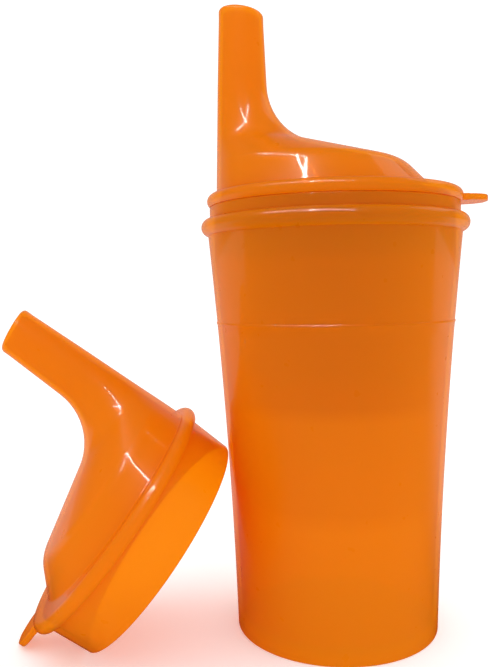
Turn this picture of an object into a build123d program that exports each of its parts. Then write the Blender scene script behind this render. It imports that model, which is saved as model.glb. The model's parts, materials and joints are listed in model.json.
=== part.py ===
from build123d import *
import os
from math import atan2, cos, hypot, pi, radians, sin, sqrt, tan

# A spouted drinking beaker with two lids, in millimetres, +Z up.
# The origin is the centre of the cup's foot, on the surface the cup stands on.
# The spout of the fitted lid points to -X and its pull tab to +X.
# The second lid stands on the same surface and leans on the cup.

# ---- cup ----
FOOT_RADIUS = 28.5  # outside of the foot
RIM_RADIUS = 34.7  # outside of the plain collar at the mouth
CUP_HEIGHT = 119.0
CUP_WALL = 1.3
FLOOR_THICKNESS = 1.5
FOOT_RECESS = 2.3  # the floor stands this far above the foot's resting edge
COLLAR_HEIGHT = 3.2  # plain collar between the bead and the rim
BEAD_HEIGHT = 4.8  # half-round grip bead below the collar
BEAD_STAND = 2.45  # how far the bead stands out from the collar
NECK_FLARE = 0.55  # the side meets the bead's lower edge this far outside the collar
SIDE_HOLLOW = 0.93  # how far the side curves in from a straight cone
FILL_LINE_HEIGHT = 86.8  # fine raised ring round the side
FILL_LINE_RADIUS = 0.5
FILL_LINE_STAND = 0.2

# ---- lid, with heights measured from its seat on the rim ----
LID_WALL = 1.25
PLUG_DEPTH = 13.0
PLUG_CLEARANCE = 0.25  # all round, between the plug and the mouth
PLUG_DRAFT = 0.5  # the plug's radius is this much less at its open end
BORE_SPARE = 1.0  # the cup's straight mouth runs this far below the plug
RING_HEIGHT = 3.5  # rounded flange ring that rests on the rim
RING_STAND = 0.7  # how far the ring stands out from the collar
RING_SHOULDER = 1.5  # the ring's top edge lies this far inside the collar's outside
SPOUT_SETBACK = 0.4  # from the ring's top edge in to the spout's outer side
SPOUT_LEAN = 1.5  # how far that side leans in between the ring and the tip
SPOUT_HEIGHT = 54.8  # highest point of the tip
SPOUT_WIDTH = 12.5  # across the tip
SPOUT_GROWTH = 1.0  # how much further out its inner side is at the neck
TIP_SLANT = 8.0  # degrees, falling towards the tab
TIP_WALL = 1.4
TIP_ROUND = 1.2  # outer edge of the tip
OUTLET_ROUND = 0.35  # edge of the outlet
CROWN_LAND = 7.9  # flat from the ring's outside in to the hump, at the tab
CROWN_SETBACK = 7.7  # from the hump's foot in to its corner
CROWN_HEIGHT = 11.3  # of that corner
CROWN_SLOPE = 13.9  # degrees, rising towards the spout
CROWN_ROUND = 10.0
NECK_ROUND = 17.0
TAB_REACH = 7.8  # beyond the ring
TAB_WIDTH = 14.0
TAB_THICKNESS = 1.6
TAB_LIFT = 0.6  # underside of the tab above the seat
TAB_END_ROUND = 6.5
TAB_EDGE_ROUND = 0.5
NARROW_OUTLET = 4.0  # diameter, for thin drinks
WIDE_OUTLET = 9.0  # diameter, for thick drinks and soup

# ---- where the second lid stands ----
SPARE_BEARING = 188.0  # degrees from +X, seen from above
LEAN_GAP = 0.3  # between its plug's edge and the cup's side
EDGE_STEP = 2  # degrees between the points tried round the plug's edge
PLACING_TOLERANCE = 0.001

# ---- modelling ----
SPOUT_LEVELS = 24  # steps between the level circles of the spout

# ---- sizes that follow ----
BEAD_TOP = CUP_HEIGHT - COLLAR_HEIGHT
BEAD_BOTTOM = BEAD_TOP - BEAD_HEIGHT
BEAD_RADIUS = RIM_RADIUS + BEAD_STAND
NECK_RADIUS = RIM_RADIUS + NECK_FLARE
MOUTH_RADIUS = RIM_RADIUS - CUP_WALL
MOUTH_BOTTOM = CUP_HEIGHT - PLUG_DEPTH - BORE_SPARE
FLOOR_TOP = FOOT_RECESS + FLOOR_THICKNESS
RING_RADIUS = RIM_RADIUS + RING_STAND
RING_TOP_RADIUS = RIM_RADIUS - RING_SHOULDER
SPOUT_SIDE = RING_TOP_RADIUS - SPOUT_SETBACK
PLUG_RADIUS = MOUTH_RADIUS - PLUG_CLEARANCE
PLUG_END_RADIUS = PLUG_RADIUS - PLUG_DRAFT
TAB_TIP = RING_RADIUS + TAB_REACH


def arc_radius(arc, height):
    """Radius at this height on the upright arc through three (radius, height) points."""
    low, middle, high = (Vector(*point) for point in arc)
    to_low, to_high = low - middle, high - middle
    twice_area = 2 * (to_low.X * to_high.Y - to_low.Y * to_high.X)
    low_square, high_square = to_low.length**2, to_high.length**2
    centre_radius = (low_square * to_high.Y - high_square * to_low.Y) / twice_area
    centre_height = (high_square * to_low.X - low_square * to_high.X) / twice_area
    arc_square = centre_radius**2 + centre_height**2
    rise = height - middle.Y - centre_height
    return middle.X + centre_radius - sqrt(arc_square - rise**2)


# The cup's side outside and inside, each an arc through three (radius, height) points.
HALF_HEIGHT = BEAD_BOTTOM / 2
WAIST_RADIUS = (FOOT_RADIUS + NECK_RADIUS) / 2 - SIDE_HOLLOW
SIDE = [(FOOT_RADIUS, 0), (WAIST_RADIUS, HALF_HEIGHT), (NECK_RADIUS, BEAD_BOTTOM)]
FLOOR_RADIUS = arc_radius(SIDE, FLOOR_TOP) - CUP_WALL
INSIDE = [
    (FLOOR_RADIUS, FLOOR_TOP),
    (WAIST_RADIUS - CUP_WALL, HALF_HEIGHT),
    (MOUTH_RADIUS, MOUTH_BOTTOM),
]


# ---- cup: one moulding, turned about Z ----
with BuildPart() as cup:
    with BuildSketch(Plane.XZ):
        with BuildLine():
            recess_radius = FOOT_RADIUS - CUP_WALL
            Polyline(
                (0, FLOOR_TOP),
                (0, FOOT_RECESS),
                (recess_radius - FOOT_RECESS / 2, FOOT_RECESS),
                (recess_radius, 0),
                (FOOT_RADIUS, 0),
            )
            ThreePointArc(*SIDE)
            ThreePointArc(
                (NECK_RADIUS, BEAD_BOTTOM),
                (BEAD_RADIUS, (BEAD_BOTTOM + BEAD_TOP) / 2),
                (RIM_RADIUS, BEAD_TOP),
            )
            Polyline(
                (RIM_RADIUS, BEAD_TOP),
                (RIM_RADIUS, CUP_HEIGHT),
                (MOUTH_RADIUS, CUP_HEIGHT),
                (MOUTH_RADIUS, MOUTH_BOTTOM),
            )
            ThreePointArc(*INSIDE)
            Line((FLOOR_RADIUS, FLOOR_TOP), (0, FLOOR_TOP))
        make_face()
    revolve(axis=Axis.Z)
    with BuildSketch(Plane.XZ):
        line_radius = arc_radius(SIDE, FILL_LINE_HEIGHT) - FILL_LINE_RADIUS + FILL_LINE_STAND
        with Locations((line_radius, FILL_LINE_HEIGHT)):
            Circle(FILL_LINE_RADIUS)
    revolve(axis=Axis.Z)


def spout_form(inset, start):
    """Solid of the hump and spout, its skin moved in by inset, from height start up.

    Every level section is a circle between the spout's outer side, nearly
    upright, and the outline of the tab side.
    """
    lean_slope = SPOUT_LEAN / SPOUT_HEIGHT
    foot_slope = (CROWN_HEIGHT - RING_HEIGHT) / CROWN_SETBACK
    crown_foot = RING_RADIUS - CROWN_LAND
    crown_corner = crown_foot - CROWN_SETBACK
    tip_inner = SPOUT_WIDTH - SPOUT_SIDE + SPOUT_LEAN
    neck_inner = tip_inner + SPOUT_GROWTH
    neck_height = CROWN_HEIGHT + (crown_corner - neck_inner) * tan(radians(CROWN_SLOPE))
    above_tip = SPOUT_HEIGHT + SPOUT_WIDTH / 2
    with BuildLine(Plane.XZ) as outline:
        FilletPolyline(
            (crown_foot + (RING_HEIGHT - start) / foot_slope, start),
            (crown_corner, CROWN_HEIGHT),
            (neck_inner, neck_height),
            (tip_inner, above_tip),
            radius=[CROWN_ROUND, NECK_ROUND],
        )
    tab_side = outline.wires()[0]
    with BuildPart() as form:
        for level in range(SPOUT_LEVELS + 1):
            point = tab_side @ (level / SPOUT_LEVELS)
            along = tab_side % (level / SPOUT_LEVELS)
            height = point.Z + inset * along.X
            inner = point.X - inset * along.Z
            outer = inset - SPOUT_SIDE + lean_slope * height
            with BuildSketch(Plane.XY.offset(height)):
                with Locations(((inner + outer) / 2, 0)):
                    Circle((inner - outer) / 2)
        loft()
        tip_top = (SPOUT_LEAN - SPOUT_SIDE, 0, SPOUT_HEIGHT)
        slant = radians(TIP_SLANT)
        tip_plane = Plane(origin=tip_top, x_dir=(0, 1, 0), z_dir=(sin(slant), 0, cos(slant)))
        split(bisect_by=tip_plane.offset(-inset * TIP_WALL / LID_WALL), keep=Keep.BOTTOM)
    return form.part


def mould_lid(outlet):
    """A lid with its seat at height 0 and an outlet of this diameter in its tip."""
    with BuildPart() as lid:
        add(spout_form(0, RING_HEIGHT / 2))
        with BuildSketch(Plane.XZ):
            with BuildLine():
                Line((0, RING_HEIGHT), (RING_TOP_RADIUS, RING_HEIGHT))
                ThreePointArc(
                    (RING_TOP_RADIUS, RING_HEIGHT),
                    (RING_RADIUS, RING_HEIGHT / 2),
                    (RIM_RADIUS, 0),
                )
                Polyline(
                    (RIM_RADIUS, 0),
                    (PLUG_RADIUS, 0),
                    (PLUG_END_RADIUS, -PLUG_DEPTH),
                    (0, -PLUG_DEPTH),
                    (0, RING_HEIGHT),
                )
            make_face()
        revolve(axis=Axis.Z)
        with BuildSketch(Plane.XY.offset(TAB_LIFT)):
            with Locations(((PLUG_RADIUS + TAB_TIP) / 2, 0)):
                Rectangle(TAB_TIP - PLUG_RADIUS, TAB_WIDTH)
            fillet(vertices().group_by(Axis.X)[-1], TAB_END_ROUND)
        extrude(amount=TAB_THICKNESS)
        level_edges = lid.edges().filter_by(Plane.XY)
        fillet(level_edges.filter_by(lambda edge: edge.center().X > RING_RADIUS), TAB_EDGE_ROUND)
        deck_underside = RING_HEIGHT - LID_WALL
        with BuildSketch(Plane.XZ):
            with BuildLine():
                Polyline(
                    (0, deck_underside),
                    (PLUG_RADIUS - LID_WALL, deck_underside),
                    (PLUG_END_RADIUS - LID_WALL, -PLUG_DEPTH),
                    (0, -PLUG_DEPTH),
                    (0, deck_underside),
                )
            make_face()
        revolve(axis=Axis.Z, mode=Mode.SUBTRACT)
        add(spout_form(LID_WALL, RING_HEIGHT / 2), mode=Mode.SUBTRACT)
        tip_centre = SPOUT_LEAN - SPOUT_SIDE + SPOUT_WIDTH / 2
        tip_drop = SPOUT_WIDTH * tan(radians(TIP_SLANT))
        with BuildSketch(Plane.XY.offset(SPOUT_HEIGHT)):
            with Locations((tip_centre, 0)):
                Circle(outlet / 2)
        extrude(amount=-tip_drop - 2 * TIP_WALL, mode=Mode.SUBTRACT)
        slanted = lid.faces().filter_by(lambda face: face.center().Z > SPOUT_HEIGHT - tip_drop)
        tip_rims = slanted.sort_by(Axis.Z)[-1].edges().sort_by(SortBy.LENGTH)
        fillet(tip_rims[-1], TIP_ROUND)
        outlet_rims = lid.edges().filter_by(lambda edge: edge.length < pi * (outlet + TIP_WALL))
        fillet(outlet_rims.sort_by(Axis.Z)[-1], OUTLET_ROUND)
    return lid.part


def standing_place():
    """Where the second lid stands: on its tab and its plug's edge, against the cup.

    Both feet reach the surface when the lid's axis rises at this angle. The lid
    is then moved out from the cup's axis until its plug's edge is just clear.
    """
    rise = atan2(TAB_TIP - PLUG_END_RADIUS, TAB_LIFT + PLUG_DEPTH)
    seat_height = PLUG_END_RADIUS * cos(rise) + PLUG_DEPTH * sin(rise)
    edge = [
        (PLUG_END_RADIUS * cos(radians(turn)), PLUG_END_RADIUS * sin(radians(turn)))
        for turn in range(0, 360, EDGE_STEP)
    ]

    def clearance(distance):
        gaps = []
        for toward_tab, sideways in edge:
            out = distance + toward_tab * sin(rise) - PLUG_DEPTH * cos(rise)
            height = seat_height - toward_tab * cos(rise) - PLUG_DEPTH * sin(rise)
            gaps.append(hypot(out, sideways) - arc_radius(SIDE, height))
        return min(gaps)

    near, far = FOOT_RADIUS, FOOT_RADIUS + CUP_HEIGHT
    while far - near > PLACING_TOLERANCE:
        middle = (near + far) / 2
        if clearance(middle) < LEAN_GAP:
            near = middle
        else:
            far = middle
    bearing = radians(SPARE_BEARING)
    out_x, out_y = cos(bearing), sin(bearing)
    return Plane(
        origin=(far * out_x, far * out_y, seat_height),
        x_dir=(sin(rise) * out_x, sin(rise) * out_y, -cos(rise)),
        z_dir=(cos(rise) * out_x, cos(rise) * out_y, sin(rise)),
    )


# ---- the lid on the cup, seated on its rim ----
with BuildPart() as spouted_lid:
    with Locations((0, 0, CUP_HEIGHT)):
        add(mould_lid(NARROW_OUTLET))

# ---- the second lid, standing beside the cup ----
with BuildPart() as spare_lid:
    with Locations(standing_place()):
        add(mould_lid(WIDE_OUTLET))

os.makedirs("parts", exist_ok=True)
cup.part.label = "cup"
export_step(cup.part, "parts/cup.step")
spouted_lid.part.label = "spouted_lid"
export_step(spouted_lid.part, "parts/spouted_lid.step")
spare_lid.part.label = "spare_lid"
export_step(spare_lid.part, "parts/spare_lid.step")
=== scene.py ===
import json
from math import atan2, cos, hypot, pi, radians, sin, tan

import bmesh
import bpy
from mathutils import Matrix, Vector


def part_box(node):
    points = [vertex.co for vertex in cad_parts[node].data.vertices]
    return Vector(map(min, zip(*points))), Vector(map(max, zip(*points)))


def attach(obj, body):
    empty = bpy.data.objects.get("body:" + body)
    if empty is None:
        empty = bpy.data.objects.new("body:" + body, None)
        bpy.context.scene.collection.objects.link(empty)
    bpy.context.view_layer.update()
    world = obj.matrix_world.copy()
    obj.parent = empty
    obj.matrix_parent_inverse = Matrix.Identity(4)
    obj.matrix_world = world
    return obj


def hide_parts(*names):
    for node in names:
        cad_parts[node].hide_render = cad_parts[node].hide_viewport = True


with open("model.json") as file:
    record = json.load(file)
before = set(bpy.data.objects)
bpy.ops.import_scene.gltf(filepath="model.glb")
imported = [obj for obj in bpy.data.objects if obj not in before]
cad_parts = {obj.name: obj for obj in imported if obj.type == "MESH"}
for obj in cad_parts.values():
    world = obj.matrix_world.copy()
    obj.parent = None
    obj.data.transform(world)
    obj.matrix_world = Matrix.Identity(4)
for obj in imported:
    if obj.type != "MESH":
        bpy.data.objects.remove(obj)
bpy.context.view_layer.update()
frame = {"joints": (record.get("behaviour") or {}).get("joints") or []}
mm = 0.001

# ---- Camera ----
# It stands a little over 20 cm in front of the cup, level with the upper part of the side,
# and looks slightly down, so that the spout is seen from below and the foot from above.
camera_data = bpy.data.cameras.new("camera")
camera_data.sensor_width = 36.0
camera_data.lens = 40.48
camera_data.clip_start = 0.01
camera = bpy.data.objects.new("camera", camera_data)
bpy.context.collection.objects.link(camera)
look_down = radians(3.45)
look_left = radians(0.05)
lean = radians(-0.93)
aim = Matrix.Rotation(look_left, 4, "Z") @ Matrix.Rotation(pi / 2 - look_down, 4, "X")
stand_point = Matrix.Translation((-24.75 * mm, -213.0 * mm, 96.4 * mm))
camera.matrix_world = stand_point @ aim @ Matrix.Rotation(lean, 4, "Z")
bpy.context.scene.camera = camera

# ---- Cup ----
# A beaker in see-through orange polypropylene, injection moulded in one piece from a gate under
# the floor: a foot ring, a waisted side with a fine fill line, a grip bead and a plain collar.
foot_radius = 28.5
rim_radius = 34.7
mouth_radius = 33.4
wall = 1.3
foot_recess = 2.3
floor_top = 3.8
bead_radius = 37.15
bead_bottom = 111.0
bead_top = 115.8
mouth_bottom = 105.0
neck_radius = 35.25
waist = 0.93
fill_line = 86.8
fill_line_stand = 0.2
floor_radius = 27.31
flat_radius = 18.0  # the flat middle of the floor
gate_radius = 3.4
cup_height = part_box("cup")[1].z / mm


def arc(start, middle, end, steps):
    """The points after start on the arc from start through middle to end, as (across, up)."""
    ax, az = start[0] - middle[0], start[1] - middle[1]
    cx, cz = end[0] - middle[0], end[1] - middle[1]
    a_square, c_square = ax * ax + az * az, cx * cx + cz * cz
    double_area = 2 * (ax * cz - az * cx)
    hub_x = (a_square * cz - c_square * az) / double_area
    hub_z = (c_square * ax - a_square * cx) / double_area
    radius = hypot(hub_x, hub_z)
    first = atan2(az - hub_z, ax - hub_x)
    halfway = atan2(-hub_z, -hub_x)
    last = atan2(cz - hub_z, cx - hub_x)
    sweep = (halfway - first + pi) % (2 * pi) + (last - halfway + pi) % (2 * pi) - 2 * pi
    turns = [first + sweep * step / steps for step in range(1, steps + 1)]
    hub_x, hub_z = hub_x + middle[0], hub_z + middle[1]
    return [(hub_x + radius * cos(turn), hub_z + radius * sin(turn)) for turn in turns]


def rounded(corners, steps):
    """A line through these (across, up, radius) corners, each rounded to its radius."""
    line = [corners[0][:2]]
    for before, corner, after in zip(corners, corners[1:], corners[2:]):
        here = Vector(corner[:2])
        back = (Vector(before[:2]) - here).normalized()
        ahead = (Vector(after[:2]) - here).normalized()
        half = back.angle(ahead) / 2
        inward = (back + ahead).normalized()
        start = here + back * corner[2] / tan(half)
        end = here + ahead * corner[2] / tan(half)
        middle = here + inward * corner[2] * (1 / sin(half) - 1)
        line += [tuple(start)] + arc(start, middle, end, steps)
    return line + [corners[-1][:2]]


def draw_rings(rings, sides):
    """Extrudes a circle from ring to ring. A ring is (across, up, radius, tilt in degrees)."""
    bpy.ops.object.select_all(action="DESELECT")
    across, up, radius, tilt = rings[0]
    bpy.ops.mesh.primitive_circle_add(vertices=sides, radius=radius * mm)
    bpy.ops.object.mode_set(mode="EDIT")
    bpy.ops.mesh.select_all(action="SELECT")
    bpy.ops.transform.translate(value=(across * mm, 0, up * mm))
    centre = (across * mm, 0, up * mm)
    bpy.ops.transform.rotate(value=radians(-tilt), orient_axis="Y", center_override=centre)
    for now, then in zip(rings, rings[1:]):
        step = ((then[0] - now[0]) * mm, 0, (then[1] - now[1]) * mm)
        bpy.ops.mesh.extrude_region_move(TRANSFORM_OT_translate={"value": step})
        centre = (then[0] * mm, 0, then[1] * mm)
        grow = then[2] / now[2]
        bpy.ops.transform.resize(value=(grow, grow, grow), center_override=centre)
        if then[3] != now[3]:
            lean_more = radians(now[3] - then[3])
            bpy.ops.transform.rotate(value=lean_more, orient_axis="Y", center_override=centre)


middle_height = bead_bottom / 2
middle_radius = (foot_radius + neck_radius) / 2 - waist
side = arc((foot_radius, 0), (middle_radius, middle_height), (neck_radius, bead_bottom), 36)
inside_middle = (middle_radius - wall, middle_height)
inside = arc((mouth_radius, mouth_bottom), inside_middle, (floor_radius, floor_top), 30)
recess_edge = foot_radius - wall - foot_recess / 2
foot = rounded(
    [
        (flat_radius, foot_recess, 0),
        (recess_edge, foot_recess, 0.6),
        (foot_radius - wall, 0, 0.2),
        (foot_radius, 0, 0.3),
        (*side[0], 0),
    ],
    4,
)
lip = rounded(
    [
        (rim_radius, bead_top + 0.3, 0),
        (rim_radius, cup_height, 0.35),
        (mouth_radius, cup_height, 0.35),
        (mouth_radius, mouth_bottom, 0),
    ],
    5,
)
bead_middle = (bead_radius, (bead_bottom + bead_top) / 2)
bead = arc((neck_radius, bead_bottom), bead_middle, (rim_radius, bead_top), 14)
floor = rounded([(*inside[-2], 0), (floor_radius, floor_top, 1.2), (flat_radius, floor_top, 0)], 6)
below = [point for point in side[1:] if point[1] < fill_line - 1.0]
above = [point for point in side[1:] if point[1] > fill_line + 1.0]
share = (fill_line - below[-1][1]) / (above[0][1] - below[-1][1])
line_foot = below[-1][0] + share * (above[0][0] - below[-1][0])
line = arc(
    (line_foot - 0.02, fill_line - 0.45),
    (line_foot + fill_line_stand, fill_line),
    (line_foot + 0.02, fill_line + 0.45),
    6,
)
profile = foot + below + [(line_foot - 0.02, fill_line - 0.45)] + line
profile += above + bead + lip + inside[:-2] + floor
draw_rings([(0, up, radius, 0) for radius, up in profile], 144)
bpy.ops.mesh.edge_face_add()
bpy.ops.object.mode_set(mode="OBJECT")
cup = bpy.context.object
cup.name = "cup_moulding"
bpy.ops.object.mode_set(mode="EDIT")
bpy.ops.mesh.select_all(action="DESELECT")
bpy.ops.mesh.select_non_manifold()
bpy.ops.mesh.edge_face_add()
bpy.ops.mesh.inset(thickness=(flat_radius - gate_radius) * mm)
bpy.ops.mesh.inset(thickness=0.4 * mm, depth=-0.25 * mm)
bpy.ops.mesh.inset(thickness=2.2 * mm)
bpy.ops.mesh.inset(thickness=0.2 * mm, depth=0.3 * mm)
bpy.ops.mesh.select_all(action="SELECT")
bpy.ops.mesh.remove_doubles(threshold=0.001 * mm)
bpy.ops.mesh.normals_make_consistent(inside=False)
bpy.ops.object.mode_set(mode="OBJECT")
bpy.ops.object.shade_smooth_by_angle(angle=radians(40))


def add_node(tree, kind, settings):
    """A new shader node of this kind with these input values."""
    node = tree.nodes.new("ShaderNode" + kind)
    for name, value in settings.items():
        node.inputs[name].default_value = value
    return node


def colour_blend(tree, first, second):
    """A new node that goes from the first colour to the second."""
    node = tree.nodes.new("ShaderNodeMix")
    node.data_type = "RGBA"
    node.inputs["A"].default_value = (*first, 1)
    node.inputs["B"].default_value = (*second, 1)
    return node


def moulded_plastic(name, centre, painted_shade_stops):
    """See-through orange polypropylene, faintly uneven from the mould.

    The last argument lists painted shade as (height from the centre in mm, darkness 0 to 1)
    points, the first one's darkness 0. The painted shade is strongest where the surface is seen
    straight on.
    """
    orange, uneven_orange = (0.92, 0.375, 0.002), (0.89, 0.345, 0.0018)
    # The darker orange below is painted shade, mixed into the colour by height.
    shaded_orange = (0.61, 0.225, 0.001)
    seen_through, seen_through_edge = (0.98, 0.43, 0.015), (1.0, 0.42, 0.02)
    material = bpy.data.materials.new(name)
    material.use_nodes = True
    tree = material.node_tree
    links = tree.links
    surface = tree.nodes["Principled BSDF"]
    place = add_node(tree, "TexCoord", {})
    centring = add_node(tree, "Mapping", {"Location": [-value for value in centre]})
    links.new(place.outputs["Object"], centring.inputs["Vector"])
    flow = add_node(tree, "TexNoise", {"Scale": 35.0, "Detail": 3.0})
    links.new(centring.outputs["Vector"], flow.inputs["Vector"])
    tint = colour_blend(tree, orange, uneven_orange)
    links.new(flow.outputs["Fac"], tint.inputs["Factor"])

    # Painted shade: a ramp by height darkens the orange. It is not a deeper dye.
    bottom, top = painted_shade_stops[0][0], painted_shade_stops[-1][0]
    height = add_node(tree, "SeparateXYZ", {})
    links.new(centring.outputs["Vector"], height.inputs["Vector"])
    level = add_node(tree, "MapRange", {"From Min": bottom * mm, "From Max": top * mm})
    links.new(height.outputs["Z"], level.inputs["Value"])
    painted_shade_ramp = add_node(tree, "ValToRGB", {})
    for stop in painted_shade_ramp.color_ramp.elements[1:]:
        painted_shade_ramp.color_ramp.elements.remove(stop)
    for up, depth in painted_shade_stops[1:]:
        stop = painted_shade_ramp.color_ramp.elements.new((up - bottom) / (top - bottom))
        stop.color = (depth, depth, depth, 1)
    links.new(level.outputs["Result"], painted_shade_ramp.inputs["Fac"])
    edge = add_node(tree, "LayerWeight", {"Blend": 0.3})
    # The painted shade fades towards the outline, so the edges show lighter.
    straight_on = add_node(tree, "MapRange", {"From Max": 0.5, "To Min": 1.0, "To Max": 0.0})
    links.new(edge.outputs["Facing"], straight_on.inputs["Value"])
    shade = add_node(tree, "Math", {})
    shade.operation = "MULTIPLY"
    links.new(painted_shade_ramp.outputs["Color"], shade.inputs[0])
    links.new(straight_on.outputs["Result"], shade.inputs[1])
    body = colour_blend(tree, orange, shaded_orange)
    links.new(shade.outputs["Value"], body.inputs["Factor"])
    links.new(tint.outputs["Result"], body.inputs["A"])
    links.new(body.outputs["Result"], surface.inputs["Base Color"])

    grain = add_node(tree, "TexNoise", {"Scale": 260.0})
    links.new(centring.outputs["Vector"], grain.inputs["Vector"])
    polish = add_node(tree, "MapRange", {"To Min": 0.24, "To Max": 0.36})
    links.new(grain.outputs["Fac"], polish.inputs["Value"])
    links.new(polish.outputs["Result"], surface.inputs["Roughness"])
    ripple = add_node(tree, "Bump", {"Strength": 0.04, "Distance": 0.3 * mm})
    links.new(grain.outputs["Fac"], ripple.inputs["Height"])
    links.new(ripple.outputs["Normal"], surface.inputs["Normal"])
    surface.inputs["IOR"].default_value = 1.49
    surface.inputs["Specular IOR Level"].default_value = 0.2
    surface.inputs["Coat Weight"].default_value = 0.8
    surface.inputs["Coat Roughness"].default_value = 0.04

    stain = colour_blend(tree, seen_through, seen_through_edge)
    links.new(edge.outputs["Facing"], stain.inputs["Factor"])
    through = add_node(tree, "BsdfTransparent", {})
    links.new(stain.outputs["Result"], through.inputs["Color"])
    solid = add_node(tree, "MapRange", {"To Min": 0.43, "To Max": 0.5})
    links.new(edge.outputs["Facing"], solid.inputs["Value"])
    mix = add_node(tree, "MixShader", {})
    links.new(solid.outputs["Result"], mix.inputs["Fac"])
    links.new(through.outputs["BSDF"], mix.inputs[1])
    links.new(surface.outputs["BSDF"], mix.inputs[2])
    links.new(mix.outputs["Shader"], tree.nodes["Material Output"].inputs["Surface"])
    return material


# Painted shade on the cup: darker towards the mouth in two soft steps, lighter towards the foot.
cup_painted_shade = [(-60, 0.0), (-25, 0.0), (-20, 0.3), (3, 0.4), (7, 0.8), (60, 1.0)]
cup_centre = (0, 0, cup_height / 2 * mm)
cup.data.materials.append(moulded_plastic("cup_plastic", cup_centre, cup_painted_shade))
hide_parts("cup")
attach(cup, "cup")

# ---- Spouted lids ----
# Two mouldings from one tool in the same plastic, each with a plug that fills the cup's mouth, a
# rounded flange, a hump that runs up into the drinking spout, and a pull tab opposite the spout.
plug_depth = 13.0
seat_gap = 0.04  # keeps the lid's seat and the cup's rim from lying in one plane
plug_radius = 33.15
plug_end_radius = 32.65
lid_wall = 1.25
flange_height = 3.5
flange_radius = 35.4
flange_top_radius = 33.2
spout_side = 32.8
spout_lean = 1.5
spout_height = 54.74
spout_width = 12.5
crown_foot = 27.5
crown_corner = 19.8
crown_height = 11.3
crown_slope = radians(13.9)
tip_slant = 8.0
tip_wall = 1.4
tab_half_width = 7.0
tab_root_half_width = 6.95
tab_tip = 43.2
tab_round = 6.5
tab_bottom = 0.6
tab_thickness = 1.6
tab_middle = tab_bottom + tab_thickness / 2


def spout_rings(inset, foot_height):
    """Level rings up the hump and spout, their skin moved in by inset."""
    foot_slope = (crown_height - flange_height) / (crown_foot - crown_corner)
    tip_inner = spout_width - spout_side + spout_lean
    neck_inner = tip_inner + 1.0
    neck_height = crown_height + (crown_corner - neck_inner) * tan(crown_slope)
    foot_inner = crown_foot + (flange_height - foot_height) / foot_slope
    outline = rounded(
        [
            (foot_inner, foot_height, 0),
            (crown_corner, crown_height, 10.0),
            (neck_inner, neck_height, 17.0),
            (tip_inner, spout_height, 0),
        ],
        12,
    )
    rings = []
    for before, here, after in zip(outline, outline[1:], outline[2:]):
        along = (Vector(after) - Vector(before)).normalized()
        up = here[1] + inset * along.x
        inner = here[0] - inset * along.y
        outer = inset - spout_side + spout_lean * up / spout_height
        rings.append(((inner + outer) / 2, up, (inner - outer) / 2, 0))
    outer = inset - spout_side + spout_lean * foot_height / spout_height
    foot_run = inset * hypot(1, foot_slope) / foot_slope
    inner = foot_inner - foot_run
    return [((inner + outer) / 2, foot_height, (inner - outer) / 2, 0)] + rings


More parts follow.
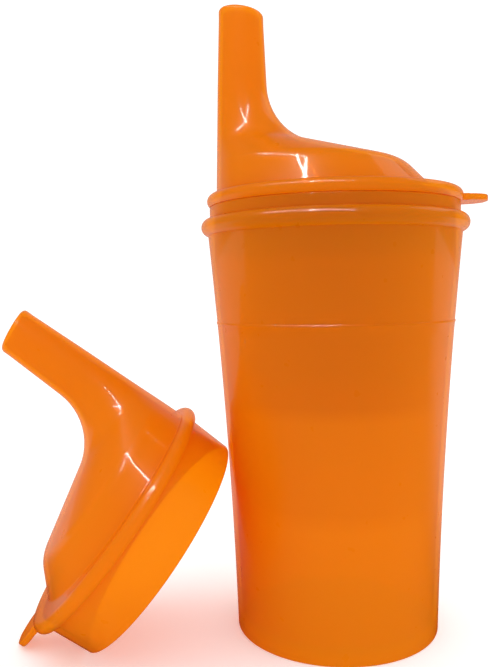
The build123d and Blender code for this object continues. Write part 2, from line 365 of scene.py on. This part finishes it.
def mould_lid(name, outlet_radius):
    """A lid with its seat at height 0 and its spout towards -X."""
    tip_x = spout_lean - spout_side + spout_width / 2
    tip_z = spout_height - spout_width / 2 * tan(radians(tip_slant))
    bore_radius = spout_width / 2 - lid_wall
    tip = rounded(
        [
            (outlet_radius + 0.22, -tip_wall, 0),
            (outlet_radius, -tip_wall, 0.2),
            (outlet_radius, 0, 0.35),
            (spout_width / 2, 0, 1.2),
            (spout_width / 2, -3.0, 0),
        ],
        5,
    )
    under_tip = rounded(
        [
            (bore_radius, -3.0, 0),
            (bore_radius, -tip_wall, 0.25),
            (outlet_radius + 0.22, -tip_wall, 0),
        ],
        4,
    )
    outside = spout_rings(0, flange_height)[1:]
    hump_foot = [
        (-2.72, flange_height + 0.35, 29.97, 0),
        (-2.64, flange_height + 0.1, 30.14, 0),
        (-2.5, flange_height, 30.4, 0),
    ]
    flange_middle = (flange_radius, flange_height / 2)
    flange = arc((flange_top_radius, flange_height), flange_middle, (rim_radius, 0), 14)
    plug = rounded(
        [
            (rim_radius, 0, 0),
            (plug_radius, 0, 0.15),
            (plug_end_radius, -plug_depth, 0.4),
            (plug_end_radius - lid_wall, -plug_depth, 0.4),
            (plug_radius - lid_wall, flange_height - lid_wall, 0.2),
            (crown_foot, flange_height - lid_wall, 0),
        ],
        4,
    )[1:-1]
    inner_skin = spout_rings(lid_wall, flange_height - lid_wall)
    rings = [(tip_x, tip_z + up, radius, tip_slant) for radius, up in tip]
    rings += outside[::-1] + hump_foot + [(0, flange_height, flange_top_radius, 0)]
    rings += [(0, up, radius, 0) for radius, up in flange + plug] + inner_skin
    rings += [(tip_x, tip_z + up, radius, tip_slant) for radius, up in under_tip]
    draw_rings(rings, 96)
    bpy.ops.mesh.select_all(action="SELECT")
    bpy.ops.mesh.remove_doubles(threshold=0.005 * mm)
    bpy.ops.mesh.normals_make_consistent(inside=False)
    bpy.ops.mesh.select_all(action="DESELECT")
    lid = bpy.context.object
    lid.name = name
    mesh = bmesh.from_edit_mesh(lid.data)
    for face in mesh.faces:
        place = face.calc_center_median() / mm
        on_flange = abs(place.y) < tab_half_width and place.x > rim_radius - 0.7
        face.select = on_flange and tab_bottom - 0.1 < place.z < tab_bottom + tab_thickness + 0.1
    bmesh.update_edit_mesh(lid.data)
    width, reach = tab_root_half_width, flange_radius
    for row in (36.7, 38.3, 39.8, 41.1, 42.1, 42.8, tab_tip):
        past = row - (tab_tip - tab_round)
        next_width = tab_half_width - tab_round + (tab_round**2 - past**2) ** 0.5
        step = ((row - reach) * mm, 0, 0)
        bpy.ops.mesh.extrude_region_move(TRANSFORM_OT_translate={"value": step})
        shape = (0, next_width / width, 1)
        bpy.ops.transform.resize(value=shape, center_override=(row * mm, 0, tab_middle * mm))
        width, reach = next_width, row
    mesh = bmesh.from_edit_mesh(lid.data)
    mesh.normal_update()
    for edge in mesh.edges:
        slopes = sorted(abs(face.normal.z) for face in edge.link_faces)
        out = min(vertex.co.x for vertex in edge.verts) > (flange_radius + 0.3) * mm
        edge.select = out and slopes[0] < 0.3 and slopes[-1] > 0.8
    bmesh.update_edit_mesh(lid.data)
    bpy.ops.mesh.bevel(offset=0.45 * mm, segments=4, affect="EDGES")
    bpy.ops.object.mode_set(mode="OBJECT")
    bpy.ops.object.shade_smooth_by_angle(angle=radians(40))
    return lid


fitted_lid = mould_lid("fitted_lid_moulding", 2.0)
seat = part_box("spouted_lid")[0].z + plug_depth * mm
bpy.ops.transform.translate(value=(0, 0, seat + seat_gap * mm))
bpy.ops.object.transform_apply(location=True, rotation=True, scale=True)
# Painted shade on the fitted lid: a darker band just above the seat, where plug and collar
# overlap.
fitted_lid_painted_shade = [(-15, 0.0), (0, 0.4), (8, 0.1), (55, 0.0)]
fitted_lid.data.materials.append(moulded_plastic("lid_plastic", (0, 0, seat), fitted_lid_painted_shade))
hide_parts("spouted_lid")
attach(fitted_lid, "spouted_lid")

spare_lid = mould_lid("spare_lid_moulding", 4.5)
slide = next(joint for joint in frame["joints"] if joint["name"] == "spare_lid_slide")
out_x, out_y = slide["axis"][0], slide["axis"][1]
rise = atan2(tab_tip - plug_end_radius, tab_bottom + plug_depth)
down_slope = Vector((sin(rise) * out_x, sin(rise) * out_y, -cos(rise)))
lid_axis = Vector((cos(rise) * out_x, cos(rise) * out_y, sin(rise)))
stand = Matrix((down_slope, lid_axis.cross(down_slope), lid_axis)).transposed().to_4x4()
spare_lid.data.transform(stand)
low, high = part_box("spare_lid")
points = [vertex.co for vertex in spare_lid.data.vertices]
spare_low = Vector([min(point[way] for point in points) for way in range(3)])
spare_high = Vector([max(point[way] for point in points) for way in range(3)])
spare_lid.data.transform(Matrix.Translation((low + high - spare_low - spare_high) / 2))
# Faint painted shade on the spare lid, a little darker higher up.
spare_lid_painted_shade = [(-50, 0.0), (0, 0.05), (50, 0.1)]
spare_centre = (low + high) / 2
spare_lid.data.materials.append(moulded_plastic("spare_lid_plastic", spare_centre, spare_lid_painted_shade))
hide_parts("spare_lid")
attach(spare_lid, "spare_lid")

# ---- Floor and backdrop ----
# A wide matt white table top, a little luminous, as paper is with light behind it. The gloss of
# the plastic sees it bright only behind the cup. The white room beyond it is the backdrop.
bpy.ops.object.select_all(action="DESELECT")
bpy.ops.mesh.primitive_plane_add(size=6.0, location=(0, 0, -0.02 * mm))
floor_sheet = bpy.context.object
floor_sheet.name = "floor"
white = bpy.data.materials.new("white_table")
white.use_nodes = True
table = white.node_tree
paper = table.nodes["Principled BSDF"]
paper.inputs["Base Color"].default_value = (0.9, 0.9, 0.9, 1)
paper.inputs["Roughness"].default_value = 1.0
paper.inputs["Specular IOR Level"].default_value = 0.0
paper.inputs["Emission Color"].default_value = (1, 1, 1, 1)
paper.inputs["Emission Strength"].default_value = 0.22
table_ray = add_node(table, "LightPath", {})
spot = add_node(table, "TexCoord", {})
away = add_node(table, "SeparateXYZ", {})
table.links.new(spot.outputs["Object"], away.inputs["Vector"])
further = add_node(table, "MapRange", {"From Max": 0.1, "To Min": 0.01, "To Max": 0.6})
table.links.new(away.outputs["Y"], further.inputs["Value"])
in_gloss = add_node(table, "Emission", {})
table.links.new(further.outputs["Result"], in_gloss.inputs["Strength"])
choose = add_node(table, "MixShader", {})
table.links.new(table_ray.outputs["Is Glossy Ray"], choose.inputs["Fac"])
table.links.new(paper.outputs["BSDF"], choose.inputs[1])
table.links.new(in_gloss.outputs["Emission"], choose.inputs[2])
table.links.new(choose.outputs["Shader"], table.nodes["Material Output"].inputs["Surface"])
floor_sheet.data.materials.append(white)

# ---- Light ----
# A bright white room that shows in the gloss only from behind, two narrow tubes high at the front
# left that draw the streaks on the spouts, and a soft box high on the right. The tubes show in
# the gloss alone and add nothing to the light on the plastic.
world = bpy.data.worlds.new("studio")
bpy.context.scene.world = world
world.use_nodes = True
room = world.node_tree
sky = room.nodes["Background"]
ray = add_node(room, "LightPath", {})
direction = add_node(room, "TexCoord", {})
apart = add_node(room, "SeparateXYZ", {})
behind_range = {"From Min": 0.5, "From Max": 0.9, "To Min": 0.01, "To Max": 0.55}
behind = add_node(room, "MapRange", behind_range)
room.links.new(direction.outputs["Generated"], apart.inputs["Vector"])
room.links.new(apart.outputs["Y"], behind.inputs["Value"])
dim = add_node(room, "Mix", {"A": 1.16})
room.links.new(ray.outputs["Is Glossy Ray"], dim.inputs["Factor"])
room.links.new(behind.outputs["Result"], dim.inputs["B"])
room.links.new(dim.outputs["Result"], sky.inputs["Strength"])
sky.inputs["Color"].default_value = (1, 1, 1, 1)
bpy.context.scene.view_settings.view_transform = "Standard"
bpy.context.scene.cycles.transparent_max_bounces = 32


def softbox(name, place, target, width, height, power):
    """A rectangular area light that faces its target."""
    lamp = bpy.data.lights.new(name, "AREA")
    lamp.shape = "RECTANGLE"
    lamp.size, lamp.size_y, lamp.energy = width, height, power
    holder = bpy.data.objects.new(name, lamp)
    bpy.context.collection.objects.link(holder)
    facing = (Vector(target) - Vector(place)).to_track_quat("-Z", "Y")
    holder.matrix_world = Matrix.Translation(place) @ facing.to_matrix().to_4x4()
    return holder


long_tube = softbox("long_tube", (-0.15, -0.22, 0.52), (0, 0, 0.12), 0.6, 0.015, 2.0)
short_tube = softbox("short_tube", (-0.16, -0.29, 0.53), (-0.025, 0, 0.15), 0.015, 0.2, 0.9)
long_tube.visible_diffuse = False
short_tube.visible_diffuse = False
softbox("right_box", (0.46, 0.22, 0.58), (0, 0, 0.12), 0.4, 0.3, 0.3)
